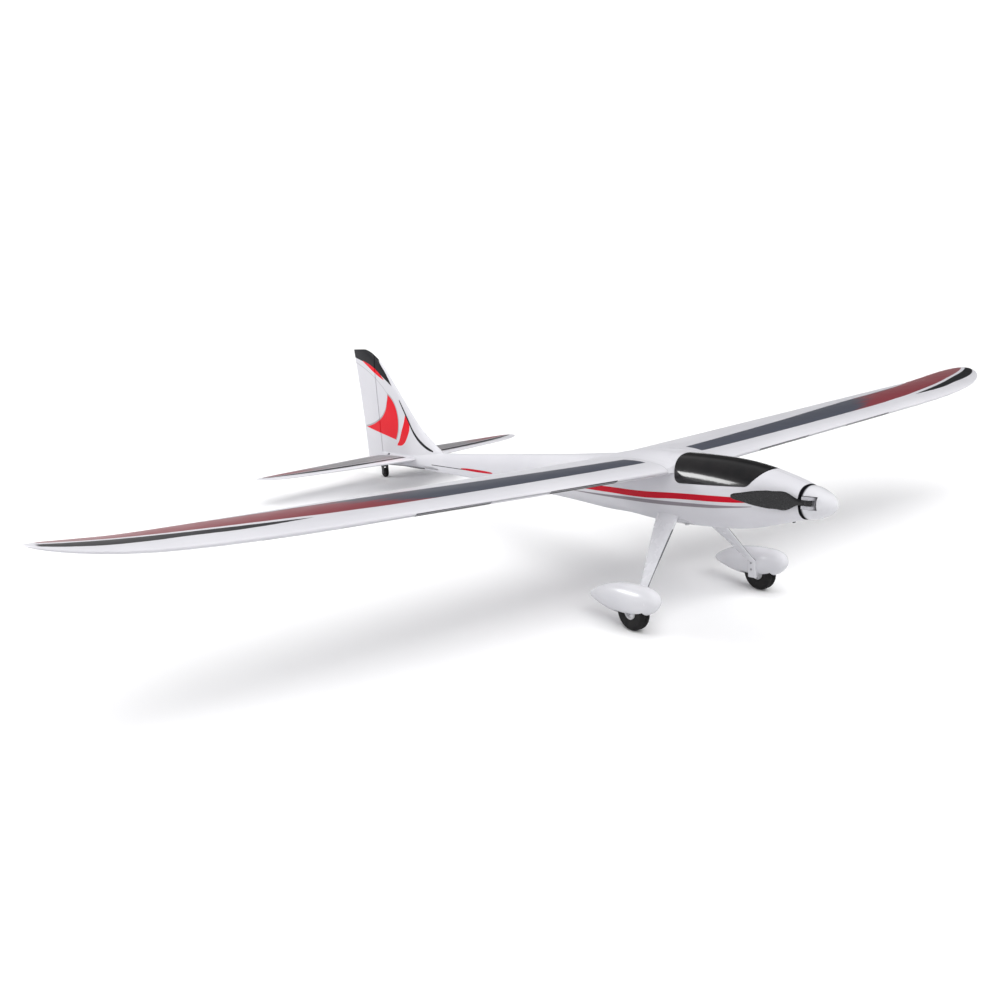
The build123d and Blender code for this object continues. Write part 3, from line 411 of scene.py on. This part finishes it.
def fuselage_skin():
    """Both shells with the fin: side stripes, pinstripes, fin trim, moulding seams and painted shade on the
    nose face behind the spinner.
    """
    paint = foam_skin("fuselage_foam")
    tree = paint.tree
    x, y, z = flight_point(tree)
    normal_x = object_normal(tree)[0]
    outward = (normal_x * x.using("SIGN")).above(0.12, 0.1)
    side_stripes(paint, y, z, outward)
    boom_lines(paint, y, z, outward)
    fin_trim(paint, y, z)
    centre_seam = abs(x).below(0.3, 0.5) * y.below(600)
    root_seam = abs(abs(x) - ROOT_SEAM_X).below(0.35, 0.4)
    paint.layer(SOFT_GREY, (centre_seam | root_seam) * 0.6)
    # Nose face behind the spinner painted black: painted shade in the gap between spinner and nose.
    paint.layer(TRIM_BLACK, y.below(-177.3, 0.5))
    return paint.material


def rudder_skin():
    paint = foam_skin("rudder_foam")
    x, y, z = flight_point(paint.tree)
    fin_trim(paint, y, z)
    return paint.material


def tail_skin():
    """Tailplane and elevators: a grey band with a dark line ahead of it, reddening outboard."""
    paint = foam_skin("tail_foam", 0.3)
    tree = paint.tree
    x, y, z = flight_point(tree)
    span = abs(x)
    top = object_normal(tree)[2].above(0.02, 0.06)
    line = span.along([(14, 644), (120, 659), (190, 676), (225, 690), (246, 702)])
    thick = span.along([(14, 5.4), (120, 6.4), (190, 6.6), (225, 4.6), (246, 0.4)])
    back = span.along([(14, 727), (150, 722), (215, 716), (246, 704)])
    streaks = noise(tree, vector_of(tree, span * 0.012, y * 0.2, 0.0), 1.0, 2.0)
    band = y.between(line + thick + 2.5, back) * span.between(16, 246, 2.0) * top
    paint.layer(TAIL_GREY, band)
    paint.layer(WING_RED, band * (span + (streaks - 0.5) * 150).above(165, 50.0) * 0.8)
    paint.layer(TRIM_BLACK, (abs(y - line) - thick).below(0.0, 0.5) * span.between(16, 246, 2.0) * top)
    return paint.material


def gloss_black():
    """The hatch: gloss black over foam, with a trace of orange peel."""
    paint = Paint("hatch_gloss_black", (0.005, 0.005, 0.006), 0.13, coat=0.25, coat_roughness=0.05)
    vector = object_vector(paint.tree)
    paint.layer((0.009, 0.008, 0.009), noise(paint.tree, vector, 60.0).between(0.5, 0.9, 0.3))
    paint.roughen(noise(paint.tree, vector, 25.0), 0.09, 0.16)
    paint.bump(noise(paint.tree, vector, 240.0), 0.00003, 0.3)
    return paint.material


def gloss_white_plastic():
    """Moulded parts: spinner and pants."""
    paint = Paint("white_plastic", PLASTIC_WHITE, 0.24, coat=0.25, coat_roughness=0.07)
    vector = object_vector(paint.tree)
    paint.layer(PLASTIC_SHADE, noise(paint.tree, vector, 14.0).between(0.45, 0.9, 0.3))
    paint.roughen(noise(paint.tree, vector, 70.0), 0.20, 0.30)
    paint.bump(noise(paint.tree, vector, 150.0), 0.00003, 0.2)
    return paint.material


def leg_plastic():
    """Leg fairings: white, with the dark wire showing along the leading edge."""
    paint = Paint("leg_plastic", PLASTIC_WHITE, 0.26, coat=0.25, coat_roughness=0.08)
    tree = paint.tree
    vector = object_vector(tree)
    x, y, z = flight_point(tree)
    leading_edge = z.along([(-113, -9.75), (-75, -6.25), (-44, -4.25)])
    paint.layer(PLASTIC_SHADE, noise(tree, vector, 14.0).between(0.45, 0.9, 0.3))
    outward = (object_normal(tree)[0] * x.using("SIGN")).above(-0.05, 0.1)
    edge_line = y.below(leading_edge + 0.8, 0.5) * z.below(-44, 1.0) * outward
    paint.layer((0.07, 0.075, 0.085), edge_line)
    paint.roughen(noise(tree, vector, 70.0), 0.22, 0.32)
    paint.bump(noise(tree, vector, 150.0), 0.00003, 0.2)
    return paint.material


def moulded(name, colour, roughness, grain=900.0, depth=0.00003, coat=0.0):
    """Plain moulded plastic or nylon with a fine grain and slightly worn high spots."""
    paint = Paint(name, colour, roughness, coat=coat)
    vector = object_vector(paint.tree)
    lighter = tuple(min(1.0, c * 1.35 + 0.004) for c in colour)
    paint.layer(lighter, noise(paint.tree, vector, 120.0).between(0.52, 0.9, 0.2) * 0.6)
    paint.roughen(noise(paint.tree, vector, 260.0), roughness - 0.06, roughness + 0.08)
    paint.bump(noise(paint.tree, vector, grain), depth, 0.4)
    return paint.material


def metal(name, colour, roughness, stretch=(1.0, 1.0, 14.0)):
    """Drawn or turned metal with fine marks."""
    paint = Paint(name, colour, roughness, metallic=1.0)
    tree = paint.tree
    x, y, z = object_point(tree)
    marks = noise(tree, vector_of(tree, x * stretch[0], y * stretch[1], z * stretch[2]), 500.0)
    darker = tuple(c * 0.7 for c in colour)
    paint.layer(darker, marks.between(0.45, 0.9, 0.3))
    paint.roughen(marks, roughness - 0.08, roughness + 0.12)
    paint.bump(marks, 0.00002, 0.3)
    return paint.material


def blade_plastic():
    """Satin black blades with faint lines drawn along them."""
    paint = Paint("blade_black", (0.007, 0.007, 0.008), 0.26, specular=0.45)
    tree = paint.tree
    x, y, z = object_point(tree)
    lines = noise(tree, vector_of(tree, x * 900, y * 30, z * 900), 1.0)
    paint.layer((0.012, 0.012, 0.014), lines.between(0.5, 0.9, 0.3))
    paint.roughen(lines, 0.22, 0.32)
    paint.bump(lines, 0.00002, 0.2)
    return paint.material


def carbon_weave():
    paint = Paint("carbon_weave", (0.012, 0.012, 0.013), 0.28, coat=0.5)
    tree = paint.tree
    x, y, z = object_point(tree)
    warp = (x * 1800).using("SINE")
    weft = ((y + z) * 1800).using("SINE")
    paint.layer((0.05, 0.05, 0.055), (warp * weft).above(0.0, 0.6))
    paint.bump(warp * weft, 0.00005, 0.4)
    return paint.material


def plywood():
    paint = Paint("light_plywood", (0.60, 0.42, 0.24), 0.62)
    tree = paint.tree
    x, y, z = object_point(tree)
    grain = noise(tree, vector_of(tree, x * 220, y * 18, z * 900), 1.0, 5.0)
    paint.layer((0.42, 0.27, 0.14), grain.between(0.5, 0.85, 0.2))
    paint.bump(grain, 0.0001, 0.3)
    return paint.material


def shrink_wrap():
    """Battery wrap with soft creases over the cells."""
    paint = Paint("battery_wrap", (0.020, 0.030, 0.11), 0.22, coat=0.5)
    tree = paint.tree
    vector = object_vector(tree)
    creases = noise(tree, vector, 130.0, 4.0)
    paint.layer((0.035, 0.05, 0.16), creases.between(0.5, 0.85, 0.2))
    paint.bump(creases, 0.0006, 0.3)
    return paint.material


def webbing():
    """Woven strap."""
    paint = Paint("strap_webbing", (0.018, 0.018, 0.020), 0.8)
    tree = paint.tree
    x, y, z = object_point(tree)
    weave = ((x + z) * 4200).using("SINE") * (y * 4200).using("SINE")
    paint.layer((0.05, 0.05, 0.055), weave.above(0.0, 1.0))
    paint.bump(weave, 0.0002, 0.5)
    return paint.material


def windings():
    """Copper wire between dark laminations, in bands round the shaft."""
    paint = Paint("motor_core", (0.42, 0.17, 0.07), 0.34, metallic=1.0)
    tree = paint.tree
    x, y, z = object_point(tree)
    turns = (y * 9000).using("SINE")
    paint.layer((0.20, 0.07, 0.03), turns.above(0.0, 0.8))
    paint.bump(turns, 0.0001, 0.6)
    return paint.material


def rubber():
    paint = Paint("tyre_rubber", (0.006, 0.006, 0.007), 0.62, specular=0.2)
    vector = object_vector(paint.tree)
    paint.layer((0.014, 0.013, 0.013), noise(paint.tree, vector, 180.0).between(0.5, 0.85, 0.3))
    paint.roughen(noise(paint.tree, vector, 90.0), 0.5, 0.72)
    paint.bump(cells(paint.tree, vector, 1500.0), 0.00012, 0.5)
    return paint.material


def yoke_plastic():
    """Grey yoke; the back plate's rear edge by the nose is painted black, as painted shade in the gap
    between spinner and nose.
    """
    paint = Paint("yoke_grey_and_gap_shade", (0.40, 0.40, 0.43), 0.34, coat=0.2)
    vector = object_vector(paint.tree)
    x, y, z = flight_point(paint.tree)
    paint.layer((0.46, 0.46, 0.49), noise(paint.tree, vector, 120.0).between(0.5, 0.9, 0.2))
    # Painted shade: black on the back plate's rear edge, for the gap between spinner and nose.
    paint.layer(TRIM_BLACK, y.above(-181.6, 0.4))
    paint.bump(noise(paint.tree, vector, 900.0), 0.00003, 0.4)
    return paint.material


WING_SKIN = wing_skin()
FUSELAGE_SKIN = fuselage_skin()
RUDDER_SKIN = rudder_skin()
TAIL_SKIN = tail_skin()
HATCH_BLACK = gloss_black()
WHITE_PLASTIC = gloss_white_plastic()
LEG_PLASTIC = leg_plastic()
YOKE_GREY_AND_GAP_SHADE = yoke_plastic()
BLADE_BLACK = blade_plastic()
STEEL = metal("drawn_steel", (0.42, 0.42, 0.44), 0.34)
ZINC = metal("zinc_plated", (0.80, 0.80, 0.82), 0.5)
MOTOR_CAN = metal("motor_can", (0.075, 0.078, 0.085), 0.3, stretch=(1.0, 16.0, 1.0))
WINDINGS = windings()
CARBON = carbon_weave()
SERVO_CASE = moulded("servo_case", (0.022, 0.024, 0.032), 0.42)
WHITE_NYLON = moulded("white_nylon", (0.70, 0.70, 0.72), 0.42, depth=0.00004)
BLACK_NYLON = moulded("black_nylon", (0.018, 0.018, 0.020), 0.46)
PLYWOOD = plywood()
WRAP = shrink_wrap()
WEBBING = webbing()
SLEEVE = moulded("electronics_sleeve", (0.016, 0.017, 0.020), 0.36)
RUBBER = rubber()

NODE_MATERIALS = {
    WING_SKIN: ["wing_left", "wing_right", "aileron_left", "aileron_right"],
    FUSELAGE_SKIN: ["fuselage_left", "fuselage_right"],
    RUDDER_SKIN: ["rudder"],
    TAIL_SKIN: ["stabilizer", "elevator_left", "elevator_right"],
    HATCH_BLACK: ["canopy_hatch"],
    WHITE_PLASTIC: ["spinner_cone", "wheel_pant_left", "wheel_pant_right", "gear_block"],
    LEG_PLASTIC: ["leg_fairing_left", "leg_fairing_right"],
    YOKE_GREY_AND_GAP_SHADE: ["spinner_backplate"],
    BLADE_BLACK: ["blade_left", "blade_right"],
    STEEL: ["blade_pins", "motor_screws", "gear_wire", "wheel_collars", "elevator_joiner",
            "aileron_pushrod_left", "aileron_pushrod_right", "elevator_pushrod", "rudder_pushrod"],
    MOTOR_CAN: ["motor_bell"],
    WINDINGS: ["motor_stator"],
    ZINC: ["gear_screws"],
    CARBON: ["spar_tube"],
    SERVO_CASE: ["aileron_servo_left", "aileron_servo_right", "elevator_servo", "rudder_servo"],
    WHITE_NYLON: ["aileron_servo_arm_left", "aileron_servo_arm_right", "elevator_servo_arm",
                  "rudder_servo_arm", "hub_left", "hub_right", "tail_hub"],
    BLACK_NYLON: ["aileron_horn_left", "aileron_horn_right", "elevator_horn", "rudder_horn", "tail_fork",
                  "motor_mount"],
    PLYWOOD: ["battery_tray"],
    WRAP: ["battery"],
    WEBBING: ["battery_strap"],
    SLEEVE: ["speed_controller", "receiver"],
    RUBBER: ["tyre_left", "tyre_right", "tail_tyre"],
}


def dress_cad_nodes():
    """Give every carried-over CAD node its material."""
    for material, names in NODE_MATERIALS.items():
        for name in names:
            mesh = frame["nodes"][name].data
            mesh.materials.clear()
            mesh.materials.append(material)


# ---------------------------------------------------------------- mesh helpers for the detailed pieces
def piece(name, mesh, material, body):
    """An object of that mesh, dressed, riding on a body."""
    obj = bpy.data.objects.new(name, mesh)
    bpy.context.scene.collection.objects.link(obj)
    mesh.materials.append(material)
    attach(obj, body)
    return obj


def lathe(name, profile, centre, segments=96):
    """Ring turned about an axle along X: the profile is a closed loop of (offset, radius)."""
    shape = bmesh.new()
    loops = []
    for i in range(segments):
        angle = 2 * math.pi * i / segments
        loops.append([
            shape.verts.new(centre + Vector((offset, r * math.cos(angle), r * math.sin(angle))))
            for offset, r in profile
        ])
    count = len(profile)
    for i in range(segments):
        this, following = loops[i], loops[(i + 1) % segments]
        for j in range(count):
            k = (j + 1) % count
            shape.faces.new((this[j], this[k], following[k], following[j]))
    bmesh.ops.recalc_face_normals(shape, faces=shape.faces)
    mesh = bpy.data.meshes.new(name)
    shape.to_mesh(mesh)
    shape.free()
    return mesh


def shade_smooth(mesh, angle=SMOOTH_ANGLE):
    """Round faces shaded smooth, and edges sharper than the angle kept crisp."""
    mesh.shade_smooth()
    mesh.set_sharp_from_angle(angle=angle)


# ---------------------------------------------------------------- wheels
def tyre_profile(width, radius, rim, grooves):
    """Rounded tyre with a bead, a sidewall step and grooves round the tread."""
    half = width / 2
    shoulder = width * 0.30
    points = [(-half * 0.72, rim), (-half * 0.92, rim + 0.9 * MM), (-half, rim + 2.4 * MM)]
    points.append((-half, radius - shoulder))
    steps = 7
    for i in range(1, steps):
        angle = math.pi / 2 * i / steps
        across = -half + shoulder * (1 - math.cos(angle))
        points.append((across, radius - shoulder * (1 - math.sin(angle))))
    flat = half - shoulder
    groove = 0.35 * MM
    for i in range(grooves):
        at = -flat + 2 * flat * (i + 0.5) / grooves
        points += [(at - 2 * groove, radius), (at - groove, radius - 2 * groove)]
        points += [(at + groove, radius - 2 * groove), (at + 2 * groove, radius)]
    left = points[: 4 + steps - 1]
    points += [(-offset, r) for offset, r in reversed(left)]
    return points


def wheel_place(node):
    """Centre, radius and width of a wheel part from its CAD box."""
    low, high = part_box(node)
    return (low + high) / 2, (high.z - low.z) / 2, high.x - low.x


def tyre(node, hub_node, body, grooves):
    centre, radius, width = wheel_place(node)
    rim = wheel_place(hub_node)[1]
    mesh = lathe(node + "_treaded", tyre_profile(width, radius, rim, grooves), centre)
    shade_smooth(mesh)
    obj = piece(node + "_treaded", mesh, RUBBER, body)
    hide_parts(node)


def hub_profile(width, rim, bore):
    """Dished wheel disc with a rolled rim and a centre boss."""
    half = width / 2
    right = [
        (half * 0.86, rim * 0.99), (half * 0.94, rim * 0.95),
        (half * 0.90, rim * 0.90), (half * 0.55, rim * 0.86),
        (half * 0.38, rim * 0.78), (half * 0.38, rim * 0.42),
        (half * 0.50, rim * 0.36), (half * 0.96, rim * 0.33),
        (half, rim * 0.29), (half, bore),
    ]
    left = [(-offset, r) for offset, r in reversed(right)]
    return right + left


def hub(node, body, bore, material=WHITE_NYLON):
    centre, radius, width = wheel_place(node)
    mesh = lathe(node + "_dished", hub_profile(width, radius, bore), centre, 72)
    shade_smooth(mesh, math.radians(40))
    obj = piece(node + "_dished", mesh, material, body)
    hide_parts(node)


def wheels():
    for side in ("left", "right"):
        tyre(f"tyre_{side}", f"hub_{side}", f"wheel_{side}", 3)
        hub(f"hub_{side}", f"wheel_{side}", 1.55 * MM)
    tyre("tail_tyre", "tail_hub", "tail_wheel", 1)
    hub("tail_hub", "tail_wheel", 1.05 * MM, BLACK_NYLON)


# ---------------------------------------------------------------- screws
def screw_mesh(name, radius, height):
    """Domed head with a cross recess, standing on z = 0."""
    shape = bmesh.new()
    segments = 32
    rings = [(1.0, 0.0), (1.0, 0.35), (0.93, 0.62), (0.74, 0.88), (0.46, 1.0)]
    loops = []
    for share, level in rings:
        loop = []
        for i in range(segments):
            angle = 2 * math.pi * i / segments
            reach = radius * share
            loop.append(shape.verts.new((reach * math.cos(angle), reach * math.sin(angle), height * level)))
        loops.append(loop)
    for lower, upper in zip(loops, loops[1:]):
        for i in range(segments):
            k = (i + 1) % segments
            shape.faces.new((lower[i], lower[k], upper[k], upper[i]))
    recess = []
    for i in range(segments):
        angle = 2 * math.pi * i / segments
        arm = 0.40 if math.cos(4 * angle) > 0.2 else 0.15
        reach = radius * arm
        recess.append(shape.verts.new((reach * math.cos(angle), reach * math.sin(angle), height * 0.98)))
    floor = [shape.verts.new((v.co.x * 0.8, v.co.y * 0.8, height * 0.35)) for v in recess]
    for outer, inner in ((loops[-1], recess), (recess, floor)):
        for i in range(segments):
            k = (i + 1) % segments
            shape.faces.new((outer[i], outer[k], inner[k], inner[i]))
    shape.faces.new(floor)
    shape.faces.new(list(reversed(loops[0])))
    bmesh.ops.recalc_face_normals(shape, faces=shape.faces)
    mesh = bpy.data.meshes.new(name)
    shape.to_mesh(mesh)
    shape.free()
    return mesh


def screw(name, place, direction, radius, height, material=STEEL):
    """A screw head at a place in the flight frame (mm), facing a direction."""
    mesh = screw_mesh(name, radius * MM, height * MM)
    turn = Vector(direction).to_track_quat("Z", "Y").to_matrix().to_4x4()
    mesh.transform(FLIGHT @ Matrix.Translation(Vector(place) * MM) @ turn)
    shade_smooth(mesh)
    return piece(name, mesh, material, "airframe")


def rounded_block(name, low, high, radius, material):
    """Block with rounded edges between two corners in the flight frame (mm)."""
    shape = bmesh.new()
    bmesh.ops.create_cube(shape, size=1.0)
    size = Vector(high) - Vector(low)
    bmesh.ops.scale(shape, vec=size * MM, verts=shape.verts)
    bmesh.ops.bevel(shape, geom=shape.edges, offset=radius * MM, segments=4, profile=0.5, affect="EDGES")
    mesh = bpy.data.meshes.new(name)
    shape.to_mesh(mesh)
    shape.free()
    centre = (Vector(low) + Vector(high)) / 2
    mesh.transform(FLIGHT @ Matrix.Translation(centre * MM))
    shade_smooth(mesh, math.radians(50))
    return piece(name, mesh, material, "airframe")


def axle_clamps():
    """Clamp over the bend of the gear wire on the inner side of each pant, held by two screws."""
    for side, sign in (("left", 1), ("right", -1)):
        inner, outer = sorted((sign * 94.6, sign * 101.5))
        low = (inner, -9.4, -134.4)
        high = (outer, 3.6, -109.5)
        rounded_block(f"axle_clamp_{side}", low, high, 1.8, WHITE_PLASTIC)
        for name, z in (("upper", -114.5), ("lower", -123.0)):
            place = (sign * 94.7, -2.9, z)
            screw(f"axle_clamp_screw_{name}_{side}", place, (-sign, 0, 0), 1.5, 0.8)


def screws():
    screw("nose_screw", (0, -155, -24.7), (0, -0.26, -1), 1.9, 1.4, BLACK_NYLON)


# ---------------------------------------------------------------- stage
def floor():
    """Plain pale floor, far wider than the view."""
    size = 60.0
    mesh = bpy.data.meshes.new("floor")
    corners = [(-size, -size, 0), (size, -size, 0), (size, size, 0), (-size, size, 0)]
    mesh.from_pydata(corners, [], [(0, 1, 2, 3)])
    obj = bpy.data.objects.new("floor", mesh)
    bpy.context.scene.collection.objects.link(obj)
    paint = Paint("floor_paper", (0.93, 0.93, 0.935), 0.9)
    paint.layer((0.92, 0.92, 0.925), noise(paint.tree, object_vector(paint.tree), 3.0))
    rays = paint.tree.nodes.new("ShaderNodeLightPath")
    seen = Field(paint.tree, rays.outputs["Is Camera Ray"])
    paint.layer(FLOOR_BOUNCE, 1 - seen)
    paint.shader.inputs["Specular IOR Level"].default_value = 0.0
    mesh.materials.append(paint.material)


def world():
    """Studio brighter at the sides than overhead, over a plain white backdrop."""
    surroundings = bpy.data.worlds.new("studio")
    bpy.context.scene.world = surroundings
    surroundings.use_nodes = True
    tree = surroundings.node_tree
    background = tree.nodes["Background"]
    background.inputs["Color"].default_value = (1, 1, 1, 1)
    rays = tree.nodes.new("ShaderNodeLightPath")
    coordinates = tree.nodes.new("ShaderNodeTexCoord")
    split = tree.nodes.new("ShaderNodeSeparateXYZ")
    tree.links.new(coordinates.outputs["Generated"], split.inputs[0])
    height = Field(tree, split.outputs["Z"])
    seen = Field(tree, rays.outputs["Is Camera Ray"])
    lighting = height.below(CEILING_START, CEILING_BLEND) * (WALL_LIGHT - CEILING_LIGHT) + CEILING_LIGHT
    along_x = Field(tree, split.outputs["X"]) * GAP_DIRECTION[0]
    along_y = Field(tree, split.outputs["Y"]) * GAP_DIRECTION[1]
    toward_gap = along_x + along_y
    gap = toward_gap.above(GAP_START, GAP_BLEND)
    strength = seen * BACKDROP + (1 - seen) * lighting * (1 - gap * GAP_DEPTH)
    tree.links.new(strength.socket, background.inputs["Strength"])


def lights():
    """One broad overhead light and a long low softbox that draws the highlight along the hatch."""
    key = bpy.data.lights.new("key", "SUN")
    key.energy = KEY_STRENGTH
    key.angle = KEY_SPREAD
    sun = bpy.data.objects.new("key", key)
    sun.rotation_euler = Vector(KEY_DIRECTION).to_track_quat("Z", "Y").to_euler()
    sun.visible_glossy = False
    bpy.context.scene.collection.objects.link(sun)
    softbox = bpy.data.lights.new("softbox", "AREA")
    softbox.shape = "RECTANGLE"
    softbox.size = SOFTBOX_WIDTH
    softbox.size_y = SOFTBOX_HEIGHT
    softbox.energy = SOFTBOX_POWER
    box = bpy.data.objects.new("softbox", softbox)
    box.location = SOFTBOX_PLACE
    aim = Vector(SOFTBOX_TARGET) - Vector(SOFTBOX_PLACE)
    box.rotation_euler = aim.to_track_quat("-Z", "Y").to_euler()
    box.visible_camera = False
    bpy.context.scene.collection.objects.link(box)


def camera():
    """Camera at three-quarter front view, slightly above the model."""
    azimuth = math.radians(CAMERA_AZIMUTH)
    elevation = math.radians(CAMERA_ELEVATION)
    back = Vector((
        math.sin(azimuth) * math.cos(elevation),
        -math.cos(azimuth) * math.cos(elevation),
        math.sin(elevation),
    ))
    data = bpy.data.cameras.new("camera")
    data.lens = CAMERA_LENS
    data.sensor_width = 36.0
    data.clip_end = 200.0
    obj = bpy.data.objects.new("camera", data)
    obj.location = CAMERA_PLACE
    obj.rotation_euler = (-back).to_track_quat("-Z", "Y").to_euler()
    bpy.context.scene.collection.objects.link(obj)
    bpy.context.scene.camera = obj
    bpy.context.scene.view_settings.view_transform = "Standard"


camera()
floor()
world()
lights()
dress_cad_nodes()
wheels()
axle_clamps()
screws()
